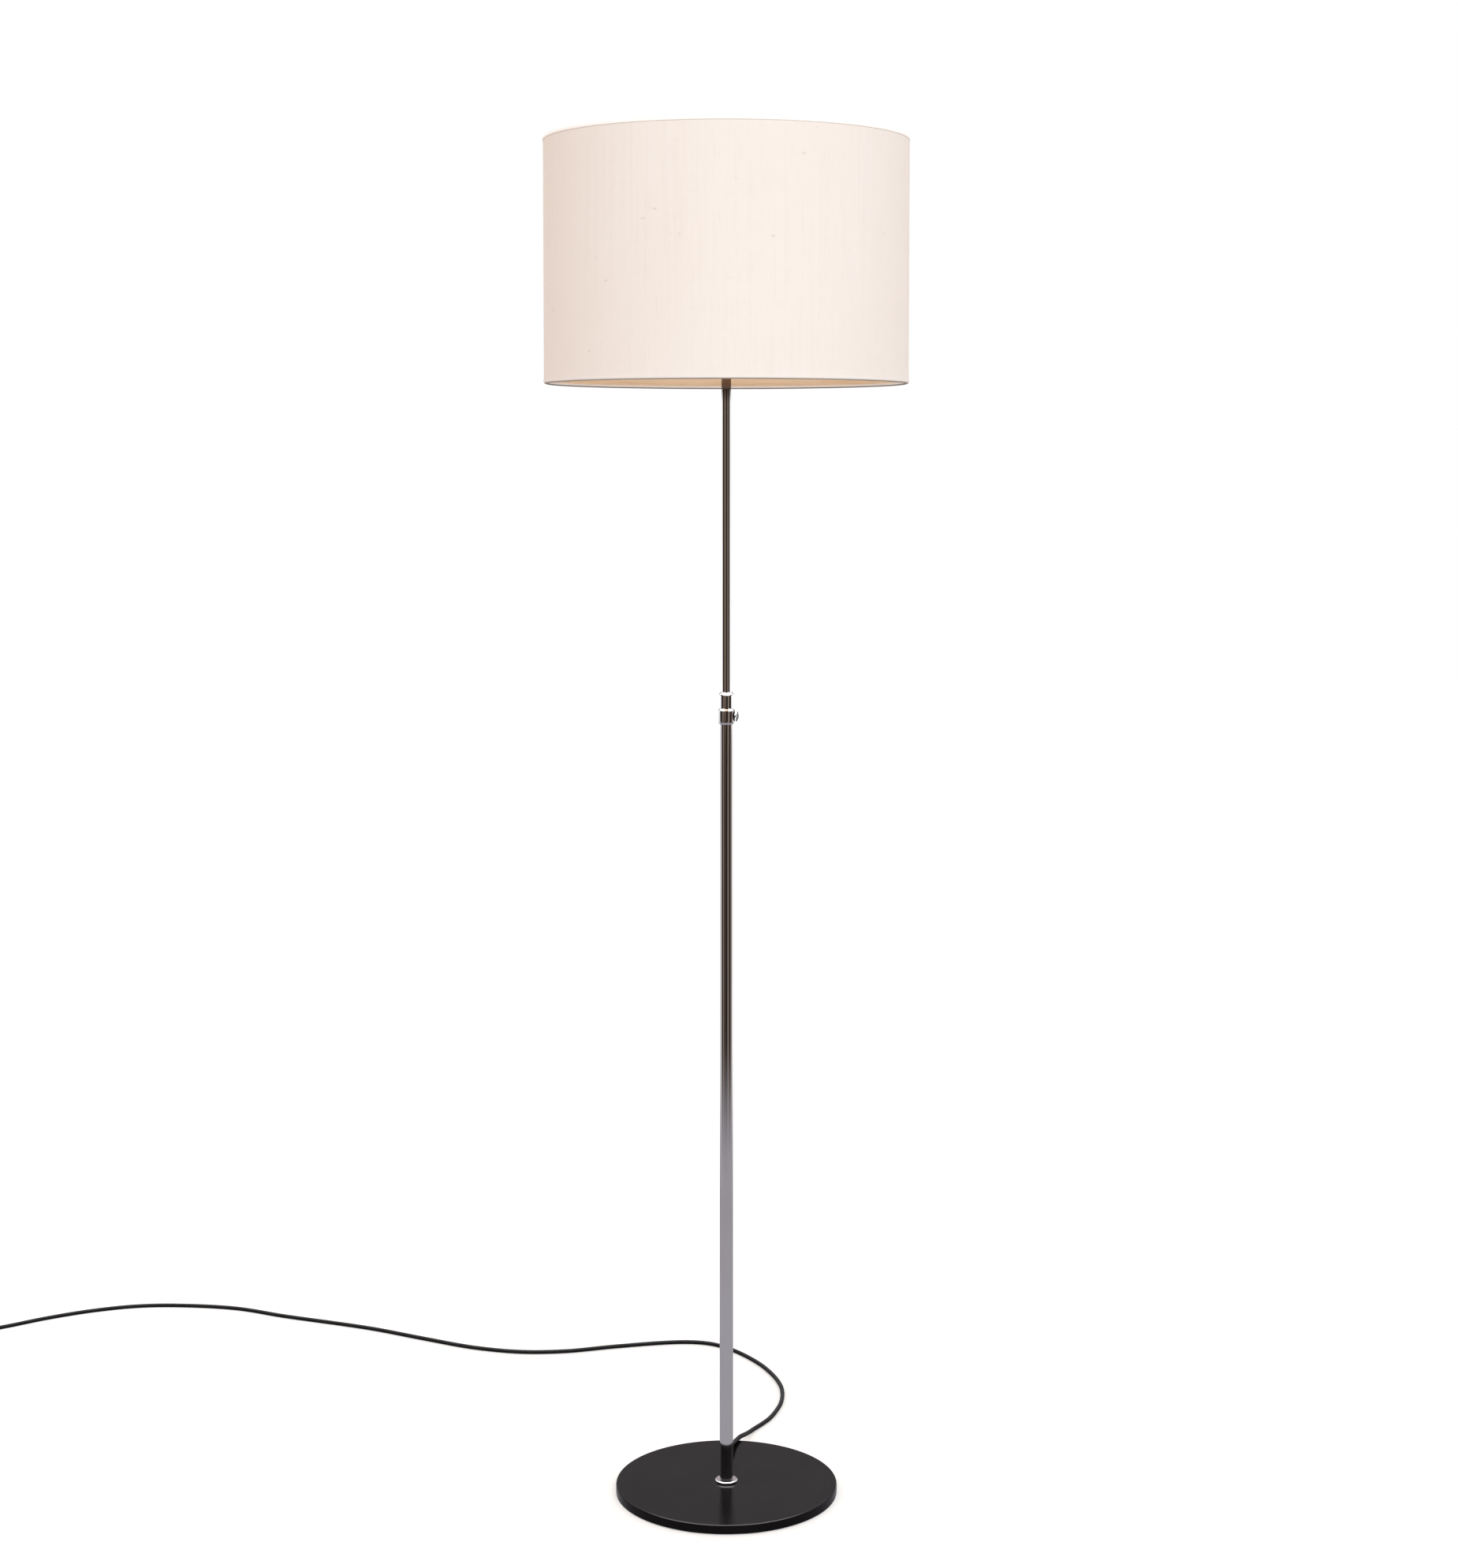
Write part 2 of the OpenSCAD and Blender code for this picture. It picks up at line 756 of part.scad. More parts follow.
module fitter_arms() {
    color(white_wire)
        for (a = arm_angles)
            rotate([0, 0, a])
                tube(arm_line, arm_r, arm_sides);
}

module rim_ring(z) {
    translate([0, 0, z])
        rotate_extrude()
            translate([rim_ring_r, 0])
                circle(wire_r);
}

module shade_top_ring() {
    color(white_wire)
        rim_ring(arm_end_z);
}

module shade_bottom_ring() {
    color(white_wire)
        rim_ring(shade_bottom_z + roll_r);
}

// Half profile of a rolled edge: the fabric goes over the wire and is tucked in behind it
module rolled_edge() {
    difference() {
        circle(roll_r);
        circle(roll_r - fabric_t);
        translate([-2 * roll_r, -4 * roll_r])
            square(4 * roll_r);
    }
    translate([-roll_r, -tuck_h])
        square([fabric_t, tuck_h]);
}

module shade_fabric() {
    color(cream)
        difference() {
            rotate_extrude()
                union() {
                    translate([shade_r - fabric_t, shade_bottom_z + roll_r])
                        square([fabric_t, shade_h - 2 * roll_r]);
                    translate([shade_r - roll_r, shade_top_z - roll_r])
                        rolled_edge();
                    translate([shade_r - roll_r, shade_bottom_z + roll_r])
                        mirror([0, 1])
                            rolled_edge();
                }
            for (a = arm_angles)
                rotate([0, 0, a])
                    translate([arm_level, 0, arm_z])
                        rotate([0, 90 - arm_slope, 0])
                            cylinder(h = arm_slant + wire_r / 2, r = arm_r + skin_gap);
        }
}

module shade_liner() {
    color(tan)
        ring(shade_bottom_z + roll_r, shade_h - 2 * roll_r, shade_r - fabric_t, shade_r - fabric_t - liner_t);
}

// ---------- Cord and plug ----------

run_line = smooth_line(route, route_before, route_after, route_steps);

module cord_run() {
    color(cord_black)
        tube(run_line, cord_r, route_sides);
}

// Point of the coil at step k, from its outer end
function smooth_rise(t) = t * t * (3 - 2 * t);
function coil_point(k) =
    let (turn = k / coil_steps, climb = turn - coil_turns_in, out = climb - 0.5,
        r = turn <= coil_turns_in ? coil_out_r - coil_pitch * turn
            : climb <= 0.5 ? coil_in_r - coil_pitch / 4 * sin(360 * climb)
            : coil_in_r + coil_pitch * out,
        z = coil_z + coil_pitch * smooth_rise(min(max(2 * climb, 0), 1)),
        angle = -90 - 360 * turn)
    [coil_centre[0] + r * cos(angle), coil_centre[1] + r * sin(angle), z];
coil_last = (coil_turns_in + 0.5 + coil_turns_out) * coil_steps;
coil_start = [coil_centre[0], coil_centre[1] - coil_out_r, coil_z];
tail_drop_x = coil_centre[0] - coil_out_r + coil_pitch;
coil_line = concat(
    [coil_start, coil_start - [cord_d, 0, 0]],
    [for (k = [1 : coil_last]) coil_point(k)],
    [[tail_drop_x, plug_y, coil_top_z], [tail_drop_x - 7, plug_y, (coil_top_z + plug_z) / 2],
        [plug_x + cord_d, plug_y, plug_z], [plug_x, plug_y, plug_z]]);

module cord_coil() {
    color(cord_black)
        tube(coil_line, cord_r, coil_sides);
}

// Least distance between two stretches of the coil that lie a third of a turn or more apart
function least_gap(line, apart) =
    min([for (i = [0 : len(line) - 1], j = [i + apart : 1 : len(line) - 1]) norm(line[i] - line[j])]) - cord_d;
echo(coil_least_gap = least_gap(coil_line, coil_steps / 3));
echo(run_length = line_length(run_line), coil_length = line_length(coil_line));

// Stadium in a plane through the coil's axis, from one radius to another
module stadium(from_r, to_r, r) {
    for (at = [from_r, to_r])
        translate([at, 0])
            circle(r);
    translate([from_r, -r])
        square([to_r - from_r, 2 * r]);
}

module cord_tie() {
    color(cord_black)
        translate([coil_centre[0] - tie_w / 2, coil_centre[1], tie_t + tie_inner_h / 2])
            rotate([90, 0, 90])
                linear_extrude(tie_w)
                    difference() {
                        stadium(tie_from_r, tie_to_r, tie_inner_h / 2 + tie_t);
                        stadium(tie_from_r, tie_to_r, tie_inner_h / 2);
                    }
}

// Two upright half-round edges of the plug's body, h long from x towards +X
module plug_slab(x, w, t, h) {
    for (side = [-1, 1])
        translate([x, plug_y + side * (w - t) / 2, plug_z])
            rotate([0, 90, 0])
                cylinder(h = h, r = t / 2, $fn = 32);
}

// Flat plug with a ribbed sleeve for the cord
module plug_body() {
    ribs = 4;
    rib_pitch = 3.6;
    color(cord_black)
        difference() {
            union() {
                hull() {
                    plug_slab(plug_face_x, plug_w, plug_t, plug_len * 0.5);
                    plug_slab(plug_face_x + plug_len - 2, plug_rear_w, plug_rear_t, 2);
                }
                translate([plug_x - plug_relief_len - cut, plug_y, plug_z])
                    rotate([0, 90, 0])
                        cylinder(h = plug_relief_len + cut, r1 = cord_r + 1.3, r2 = cord_r + 0.5);
                for (i = [1 : ribs])
                    translate([plug_x - plug_relief_len + i * rib_pitch, plug_y, plug_z])
                        rotate([0, 90, 0])
                            cylinder(h = 1.4, r = cord_r + 1.7 - 0.15 * i);
            }
            for (side = [-1, 1])
                pin_bar(side, pin_neck_r + running_gap, -pin_sink, cut);
        }
}

// Round bar along -X on one pin's axis, from one distance before the plug's face to another
module pin_bar(side, r, from, to) {
    translate([plug_face_x - from, plug_y + side * pin_spacing / 2, plug_z])
        rotate([0, -90, 0])
            cylinder(h = to - from, r = r);
}

// Two pins, each with a neck sunk into the plug's face and a round tip
module plug_pins() {
    color(steel)
        for (side = [-1, 1]) {
            pin_bar(side, pin_neck_r, -pin_sink, pin_neck_len + pin_r);
            pin_bar(side, pin_r, pin_neck_len, pin_len - pin_r);
            translate([plug_face_x - pin_len + pin_r, plug_y + side * pin_spacing / 2, plug_z])
                sphere(r = pin_r);
        }
}

// ---------- Nodes ----------

base_cover();
base_weight();
base_felt();
foot_ring();
foot_insert();
foot_washer();
foot_nut();
outer_tube();
cord_bush();
clamp_collar();
top_bush();
lead_elbow();
lower_lead();
clamp_slug();
thumb_screw();
guide_bush();
inner_tube();
upper_lead();
nipple();
holder_cap();
holder_shell();
holder_core();
terminal_screws();
lead_cores();
socket_sleeve();
centre_contact();
lower_clamp_ring();
upper_clamp_ring();
switch_bar();
bulb_cap();
bulb_glass();
fitter_ring();
fitter_arms();
shade_top_ring();
shade_bottom_ring();
shade_fabric();
shade_liner();
cord_run();
cord_coil();
cord_tie();
plug_body();
plug_pins();
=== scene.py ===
import json
import math

import bmesh
import bpy
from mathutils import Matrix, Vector


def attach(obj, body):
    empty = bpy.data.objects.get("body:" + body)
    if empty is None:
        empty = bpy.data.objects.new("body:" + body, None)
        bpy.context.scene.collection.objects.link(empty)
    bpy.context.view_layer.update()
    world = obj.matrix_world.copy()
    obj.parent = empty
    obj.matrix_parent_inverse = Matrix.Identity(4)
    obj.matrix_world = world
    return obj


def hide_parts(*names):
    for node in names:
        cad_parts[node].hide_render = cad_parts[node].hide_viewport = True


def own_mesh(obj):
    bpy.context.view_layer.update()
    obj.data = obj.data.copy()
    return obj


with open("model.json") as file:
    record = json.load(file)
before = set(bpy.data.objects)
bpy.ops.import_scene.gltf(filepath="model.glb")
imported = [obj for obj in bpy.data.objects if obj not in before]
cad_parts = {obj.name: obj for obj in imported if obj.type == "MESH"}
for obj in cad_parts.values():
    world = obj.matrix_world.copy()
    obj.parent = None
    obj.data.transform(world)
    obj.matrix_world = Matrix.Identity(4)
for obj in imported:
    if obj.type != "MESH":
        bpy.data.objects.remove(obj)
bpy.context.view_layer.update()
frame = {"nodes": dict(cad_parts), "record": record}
scene = bpy.context.scene
MM = 0.001

# Sizes of the part, in millimetres
CORD_D = 5.8
FLOOR_Z, COIL_Z = 2.95, 3.8
SHADE_R, SHADE_TOP, SHADE_H = 225.0, 1700.0, 300.0
SHADE_BOTTOM, SHADE_MIDDLE = SHADE_TOP - SHADE_H, SHADE_TOP - SHADE_H / 2
FABRIC_T, LINER_T = 0.7, 0.4
WIRE_R, WIRE_GAP = 1.75, 0.3
ROLL_R = 2.95
TUCK = 1.95
ARM_ANGLES = (90, 210, 330)

# ---------- Camera ----------

camera = bpy.data.objects.new("camera", bpy.data.cameras.new("camera"))
scene.collection.objects.link(camera)
scene.camera = camera
camera.location = (0.0033, -3.262, 1.307)
camera.rotation_euler = (math.radians(90 - 3.69), 0, 0)
camera.data.sensor_width = 36
camera.data.lens = 60.34
camera.data.shift_y = -0.099
camera.data.clip_start, camera.data.clip_end = 0.05, 100


# ---------- Shader nodes ----------

class Nodes:
    """Short calls that add nodes to one tree; most give back the output that is used."""

    def __init__(self, tree):
        self.tree = tree

    def feed(self, node, values):
        for key, value in values.items():
            if isinstance(value, bpy.types.NodeSocket):
                self.tree.links.new(value, node.inputs[key])
            else:
                node.inputs[key].default_value = value

    def node(self, kind, values=None, **settings):
        node = self.tree.nodes.new(kind)
        for key, value in settings.items():
            setattr(node, key, value)
        self.feed(node, values or {})
        return node

    def axes(self, vector):
        return self.node("ShaderNodeSeparateXYZ", {0: vector}).outputs

    def math(self, operation, *values):
        return self.node("ShaderNodeMath", dict(enumerate(values)), operation=operation).outputs[0]

    def spread(self, value, low, high, to_low=0.0, to_high=1.0, smooth=True):
        """A value carried from the range low to high onto another range, and held at its ends."""
        values = {"Value": value, "From Min": low, "From Max": high, "To Min": to_low, "To Max": to_high}
        kind = "SMOOTHSTEP" if smooth else "LINEAR"
        return self.node("ShaderNodeMapRange", values, interpolation_type=kind).outputs["Result"]

    def mix(self, share, a, b):
        a, b = (colour if isinstance(colour, bpy.types.NodeSocket) else (*colour, 1) for colour in (a, b))
        return self.node("ShaderNodeMix", {0: share, 6: a, 7: b}, data_type="RGBA").outputs[2]

    def shader_mix(self, share, a, b):
        return self.node("ShaderNodeMixShader", {0: share, 1: a, 2: b}).outputs[0]

    def ramp(self, value, stops):
        """Colours along a value, from (place, colour) pairs."""
        node = self.node("ShaderNodeValToRGB", {0: value})
        elements = node.color_ramp.elements
        while len(elements) > 1:
            elements.remove(elements[-1])
        for i, (place, colour) in enumerate(stops):
            element = elements[0] if i == 0 else elements.new(place)
            element.position = place
            element.color = (*colour, 1)
        return node.outputs[0]


class Finish(Nodes):
    """A material with one Principled surface, fed by patterns that lie fixed on the piece."""

    def __init__(self, name, colour, roughness, **sockets):
        self.material = bpy.data.materials.new(name)
        self.material.use_nodes = True
        super().__init__(self.material.node_tree)
        self.surface = self.tree.nodes["Principled BSDF"]
        self.feed(self.surface, {"Base Color": (*colour, 1), "Roughness": roughness})
        self.feed(self.surface, {key.replace("_", " "): value for key, value in sockets.items()})
        self.place = self.node("ShaderNodeTexCoord").outputs["Object"]

    def stretched(self, at, scale):
        values = {0: at or self.place, 1: scale}
        return self.node("ShaderNodeVectorMath", values, operation="MULTIPLY").outputs[0]

    def noise(self, scale, detail=2.0, at=None, stretch=(1, 1, 1)):
        values = {"Vector": self.stretched(at, stretch), "Scale": scale, "Detail": detail}
        return self.node("ShaderNodeTexNoise", values).outputs[0]

    def specks(self, scale, size, at=None, stretch=(1, 1, 1)):
        cells = self.node("ShaderNodeTexVoronoi", {"Vector": self.stretched(at, stretch), "Scale": scale})
        return self.spread(cells.outputs["Distance"], size, 0, smooth=False)

    def colour(self, value):
        self.feed(self.surface, {"Base Color": value})

    def roughness(self, value):
        self.feed(self.surface, {"Roughness": value})

    def bump(self, height, distance):
        """One more relief, laid over those before it."""
        node = self.node("ShaderNodeBump", {"Height": height, "Distance": distance, "Strength": 1.0})
        before = self.surface.inputs["Normal"].links
        if before:
            self.feed(node, {"Normal": before[0].from_socket})
        self.feed(self.surface, {"Normal": node.outputs[0]})


# ---------- Finishes ----------

# Heights in metres over which the painted dark reflection on the mast comes in and goes out again
DARK_REFLECTION_IN, DARK_REFLECTION_OUT = (1.374, 1.397), (1.46, 1.41)
# Distances from the lamp's axis in metres, between the thumb screw's fluted rim and its dome
DOME_EDGE = (0.0128, 0.0136)
WARP_PITCH, WEFT_PITCH = 0.00055, 0.00065
LINER_TAN = (0.92, 0.74, 0.555)


def lacquer():
    f = Finish("black lacquer", (0.0045, 0.004, 0.0045), 0.16, Specular_IOR_Level=0.1)
    cloud = f.noise(14, 3)
    grain = f.noise(2400, 2)
    dust = f.specks(160, 0.045)
    tone = f.mix(f.spread(cloud, 0.3, 0.7), (0.0036, 0.0032, 0.0036), (0.0050, 0.0044, 0.0048))
    f.colour(f.mix(dust, tone, (0.02, 0.019, 0.018)))
    f.roughness(f.math("ADD", f.spread(cloud, 0.3, 0.7, 0.09, 0.13), f.math("MULTIPLY", grain, 0.03)))
    f.bump(grain, 0.00004)
    f.bump(f.noise(320, 2), 0.00003)
    return f.material


def chrome():
    """Bright plating with smudges, fine lines and pits, and a painted dark reflection where the mast enters the
    shade.
    """
    f = Finish("chrome", (0.74, 0.735, 0.745), 0.07, Metallic=1.0)
    smudge = f.noise(26, 4, stretch=(1, 1, 0.25))
    hair = f.noise(900, 2, stretch=(1, 1, 0.015))
    pits = f.specks(420, 0.05)
    clean = f.mix(f.spread(smudge, 0.35, 0.7), (0.76, 0.755, 0.765), (0.70, 0.69, 0.69))
    height = f.axes(f.place)[2]
    painted_dark_reflection = f.math("MULTIPLY", f.spread(height, *DARK_REFLECTION_IN), f.spread(height, *DARK_REFLECTION_OUT))
    # Painted dark reflection: the plating darkened where the mast enters the shade
    f.colour(f.mix(pits, f.mix(painted_dark_reflection, clean, (0.19, 0.145, 0.12)), (0.36, 0.33, 0.30)))
    f.roughness(f.math("ADD", f.spread(smudge, 0.4, 0.75, 0.05, 0.11), f.math("MULTIPLY", pits, 0.3)))
    f.bump(hair, 0.000004)
    f.bump(f.noise(60, 1, stretch=(1, 1, 0.3)), 0.00002)
    return f.material


def dark_chrome():
    """Plating of the thumb screw: plain on its shank and fluted rim, dark on its dome."""
    f = Finish("dark nickel", (0.3, 0.29, 0.3), 0.12, Metallic=1.0)
    out = f.axes(f.place)[0]
    wear = f.noise(700, 3)
    knurl = f.mix(f.spread(wear, 0.35, 0.7), (0.62, 0.61, 0.62), (0.46, 0.45, 0.46))
    dome = f.mix(f.spread(wear, 0.35, 0.7), (0.16, 0.155, 0.165), (0.11, 0.105, 0.11))
    f.colour(f.mix(f.spread(out, *DOME_EDGE), knurl, dome))
    f.roughness(f.spread(f.noise(90, 3), 0.3, 0.7, 0.09, 0.17))
    f.bump(wear, 0.000006)
    return f.material


def plain_metal(name, dark, light, roughness, scale=300):
    f = Finish(name, light, roughness, Metallic=1.0)
    grain = f.noise(scale, 4)
    blotch = f.noise(scale / 9, 3)
    f.colour(f.mix(f.spread(blotch, 0.35, 0.7), light, dark))
    f.roughness(f.spread(grain, 0.3, 0.7, roughness * 0.8, roughness * 1.25))
    f.bump(grain, 0.00002)
    return f.material


def casting():
    f = Finish("cast iron", (0.2, 0.2, 0.21), 0.75, Metallic=0.6)
    grit = f.noise(700, 5)
    f.colour(f.mix(f.spread(f.noise(60, 3), 0.4, 0.7), (0.17, 0.17, 0.18), (0.26, 0.22, 0.19)))
    f.roughness(f.spread(grit, 0.3, 0.7, 0.6, 0.85))
    f.bump(grit, 0.0003)
    return f.material


def felt():
    f = Finish("felt", (0.03, 0.03, 0.03), 0.95, Sheen_Weight=0.4, Sheen_Roughness=0.6)
    fibre = f.noise(1500, 5)
    f.colour(f.mix(f.spread(fibre, 0.3, 0.7), (0.018, 0.018, 0.019), (0.055, 0.054, 0.053)))
    f.bump(fibre, 0.0003)
    f.bump(f.noise(240, 3), 0.0002)
    return f.material


def moulding(name, colour, light, roughness, grain_depth, **sockets):
    f = Finish(name, colour, roughness, Coat_Roughness=0.15, **sockets)
    flow = f.noise(55, 4, stretch=(1, 1, 2.2))
    grain = f.noise(2600, 2)
    f.colour(f.mix(f.spread(flow, 0.4, 0.75), colour, light))
    f.roughness(f.math("ADD", f.spread(flow, 0.3, 0.7, roughness * 0.85, roughness * 1.15),
                       f.math("MULTIPLY", grain, 0.06)))
    f.bump(grain, grain_depth)
    return f.material


def bulb_glass():
    f = Finish("bulb glass", (0.93, 0.93, 0.91), 0.22, Transmission_Weight=0.35, IOR=1.5, Coat_Weight=0.6,
               Coat_Roughness=0.03)
    haze = f.noise(90, 3)
    f.colour(f.mix(f.spread(haze, 0.3, 0.7), (0.94, 0.94, 0.92), (0.88, 0.88, 0.86)))
    f.roughness(f.spread(haze, 0.3, 0.7, 0.2, 0.3))
    return f.material


def round_place(f):
    """Place on a cloth wound round the lamp's axis, with its metres along the turn and its height."""
    x, y, height = f.axes(f.place)
    turn = f.math("MULTIPLY", f.math("ARCTAN2", y, x), SHADE_R * MM)
    return f.node("ShaderNodeCombineXYZ", {0: turn, 1: height}).outputs[0], turn, height


def shade_cloth():
    f = Finish("shade cloth", (0.9, 0.83, 0.77), 0.92, Sheen_Weight=0.12, Sheen_Roughness=0.5,
               Specular_IOR_Level=0.15)
    at, turn, height = round_place(f)
    x, y = f.axes(f.place)[:2]
    radius = f.math("SQRT", f.math("ADD", f.math("POWER", x, 2.0), f.math("POWER", y, 2.0)))
    from_middle = f.math("ABSOLUTE", f.math("SUBTRACT", height, SHADE_MIDDLE * MM))
    from_edge = f.math("SUBTRACT", SHADE_H / 2 * MM, from_middle)
    upper = f.spread(height, (SHADE_MIDDLE - 10) * MM, (SHADE_MIDDLE + 10) * MM)

    def band(none, full, most=1.0):
        """Share that grows between two distances from the shade's edge, in millimetres."""
        return f.spread(from_edge, none * MM, full * MM, 0, most)

    def inward(none, full):
        """Share that grows between two distances in from the shade's outside, in millimetres."""
        return f.spread(radius, (SHADE_R - none) * MM, (SHADE_R - full) * MM)

    # Yarns, with thick places and a few flecks
    warp = f.noise(1, 3, at, (900, 22, 1))
    streak = f.noise(1, 2, at, (210, 4, 1))
    weft = f.noise(1, 3, at, (45, 1000, 1))
    slub = f.math("MAXIMUM", f.spread(f.noise(1, 1, at, (70, 620, 1)), 0.70, 0.80),
                  f.spread(f.noise(1, 1, at, (520, 28, 1)), 0.68, 0.78))
    broad = f.noise(1, 2, at, (9, 5, 1))
    fleck = f.math("MULTIPLY", f.specks(1, 0.11, at, (30, 58, 1)),
                   f.spread(f.noise(1, 1, at, (17, 17, 1)), 0.56, 0.6))
    ground = f.mix(f.spread(broad, 0.3, 0.7), (0.945, 0.90, 0.862), (0.95, 0.915, 0.885))
    ground = f.mix(f.spread(streak, 0.45, 0.8, 0, 0.45), ground, (0.915, 0.85, 0.80))
    ground = f.mix(f.spread(warp, 0.5, 0.85, 0, 0.4), ground, (0.90, 0.835, 0.785))
    ground = f.mix(f.spread(weft, 0.5, 0.85, 0, 0.3), ground, (0.90, 0.84, 0.80))
    ground = f.mix(f.math("MULTIPLY", slub, 0.3), ground, (0.85, 0.78, 0.72))
    ground = f.mix(f.math("MULTIPLY", fleck, 0.5), ground, (0.66, 0.54, 0.42))

    # Hems: paler near each edge, a painted glow on the top roll, a painted shadow in the crease mostly on the
    # upper one, a painted shade on the underside of the lower one, and the liner's colour on the end of the tuck
    painted_glow_top_roll = f.math("MULTIPLY", upper, band(4.3, 4.0))
    crease = f.math("MULTIPLY", band(4.0, 4.5), band(5.3, 4.7))
    painted_underside_shade = f.math("MULTIPLY", band(1.1, 0.6, 0.9), f.math("SUBTRACT", 1.0, upper))
    shadow = f.mix(inward(2.6, 3.6), (0.32, 0.27, 0.235), (0.15, 0.12, 0.10))
    lined = f.math("MULTIPLY", inward(3.8, 4.6), band(3.0, 3.4))
    ground = f.mix(band(6.0, 4.0, 0.6), ground, (0.97, 0.945, 0.925))
    # Painted glow: the top roll whitened here, with a faint emission further down
    ground = f.mix(painted_glow_top_roll, ground, (0.98, 0.97, 0.96))
    # Painted shadow in the crease
    painted_crease_shadow = f.math("MULTIPLY", crease, f.math("MULTIPLY_ADD", upper, 0.6, 0.1))
    ground = f.mix(painted_crease_shadow, ground, (0.62, 0.54, 0.50))
    # Painted shade on the underside of the lower roll
    ground = f.mix(painted_underside_shade, ground, shadow)
    f.colour(f.mix(lined, ground, LINER_TAN))
    # Faint emission on the top roll: a painted glow
    f.feed(f.surface, {"Emission Color": (1.0, 0.98, 0.97, 1),
                       "Emission Strength": f.math("MULTIPLY", painted_glow_top_roll, 0.12)})

    warp_yarn = f.math("SINE", f.math("MULTIPLY", turn, 2 * math.pi / WARP_PITCH))
    weft_yarn = f.math("SINE", f.math("MULTIPLY", height, 2 * math.pi / WEFT_PITCH))
    f.bump(f.math("MULTIPLY", warp_yarn, weft_yarn), 0.00006)
    f.bump(f.math("ADD", warp, f.math("MULTIPLY", weft, 0.8)), 0.00022)
    f.bump(slub, 0.00012)
    return f.material


def shade_liner():
    f = Finish("shade liner", (0.86, 0.70, 0.55), 0.6)
    at = round_place(f)[0]
    cloud = f.noise(1, 4, at, (16, 16, 1))
    press = f.noise(1, 2, at, (800, 800, 1))
    f.colour(f.mix(f.spread(cloud, 0.3, 0.7), LINER_TAN, (0.95, 0.79, 0.615)))
    f.roughness(f.spread(press, 0.3, 0.7, 0.5, 0.65))
    f.bump(press, 0.00005)
    return f.material


def white_wire():
    f = Finish("white wire", (0.84, 0.82, 0.78), 0.35, Coat_Weight=0.2)
    patch = f.noise(180, 4)
    f.colour(f.mix(f.spread(patch, 0.5, 0.8), (0.86, 0.84, 0.80), (0.74, 0.70, 0.63)))
    f.roughness(f.spread(patch, 0.3, 0.7, 0.3, 0.45))
    f.bump(f.noise(900, 2), 0.00003)
    return f.material


def cord_sheath():
    f = Finish("cord sheath", (0.011, 0.011, 0.012), 0.5, Specular_IOR_Level=0.07)
    scuff = f.noise(130, 4)
    grain = f.noise(3000, 2)
    f.colour(f.mix(f.spread(scuff, 0.45, 0.8), (0.008, 0.008, 0.009), (0.016, 0.015, 0.016)))
    f.roughness(f.math("ADD", f.spread(scuff, 0.3, 0.7, 0.4, 0.55), f.math("MULTIPLY", grain, 0.08)))
    f.bump(grain, 0.00004)
    return f.material


def rubber():
    f = Finish("rubber", (0.022, 0.022, 0.022), 0.62, Specular_IOR_Level=0.35)
    bloom = f.noise(220, 4)
    f.colour(f.mix(f.spread(bloom, 0.45, 0.8), (0.02, 0.02, 0.02), (0.05, 0.049, 0.047)))
    f.roughness(f.spread(bloom, 0.3, 0.7, 0.55, 0.72))
    f.bump(f.noise(2600, 2), 0.00005)
    return f.material


FINISHES = {
    "black_lacquer": lacquer(),
    "cast_iron": casting(),
    "felt": felt(),
    "chrome": chrome(),
    "dark_chrome": dark_chrome(),
    "steel": plain_metal("zinc plated steel", (0.46, 0.47, 0.48), (0.62, 0.63, 0.65), 0.35),
    "brass": plain_metal("brass", (0.55, 0.40, 0.18), (0.78, 0.60, 0.30), 0.3),
    "nylon": moulding("natural nylon", (0.82, 0.81, 0.75), (0.88, 0.87, 0.82), 0.45, 0.00002),
    "black_moulding": moulding("black resin", (0.018, 0.018, 0.018), (0.03, 0.028, 0.026), 0.2, 0.00001,
                               Specular_IOR_Level=0.3, Coat_Weight=0.15),
    "white_moulding": moulding("white insulator", (0.84, 0.83, 0.79), (0.78, 0.76, 0.70), 0.25, 0.00002,
                               Coat_Weight=0.3),
    "bulb_metal": plain_metal("nickel plated", (0.58, 0.57, 0.55), (0.72, 0.71, 0.69), 0.24),
    "bulb_glass": bulb_glass(),
    "white_wire": white_wire(),
    "shade_fabric": shade_cloth(),
    "shade_liner": shade_liner(),
    "cord_sheath": cord_sheath(),
    "cord_rubber": rubber(),
    "plug_moulding": moulding("plug moulding", (0.014, 0.014, 0.015), (0.024, 0.023, 0.023), 0.45, 0.00005,
                              Specular_IOR_Level=0.15),
}
for subpart in frame["record"]["subparts"]:
    for material_slot in frame["nodes"][subpart["node"]].material_slots:
        material_slot.material = FINISHES[subpart["material_slot"]]


# ---------- Making pieces ----------

def finished(piece, body, slot):
    """A new piece gets its finish and rides on its body."""
    scene.collection.objects.link(piece)
    piece.data.materials.append(FINISHES[slot])
    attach(piece, body)
    return piece


def mesh_piece(name, points, faces, body, slot, sharp_degrees=None):
    """A closed mesh piece from points in millimetres, with its faces turned outwards."""
    mesh = bpy.data.meshes.new(name)
    mesh.from_pydata([Vector(p) * MM for p in points], [], faces)
    shape = bmesh.new()
    shape.from_mesh(mesh)
    bmesh.ops.recalc_face_normals(shape, faces=shape.faces)
    for face in shape.faces:
        face.smooth = True
    if sharp_degrees:
        for edge in shape.edges:
            edge.smooth = len(edge.link_faces) == 2 and edge.calc_face_angle() < math.radians(sharp_degrees)
    shape.to_mesh(mesh)
    shape.free()
    return finished(bpy.data.objects.new(name, mesh), body, slot)


def loop_faces(rows, columns, close_rows=True):
    """Quads of a grid whose columns close on themselves, and whose rows do too where asked."""
    count = rows if close_rows else rows - 1
    return [(i * columns + j, ((i + 1) % rows) * columns + j, ((i + 1) % rows) * columns + (j + 1) % columns,
             i * columns + (j + 1) % columns) for i in range(count) for j in range(columns)]


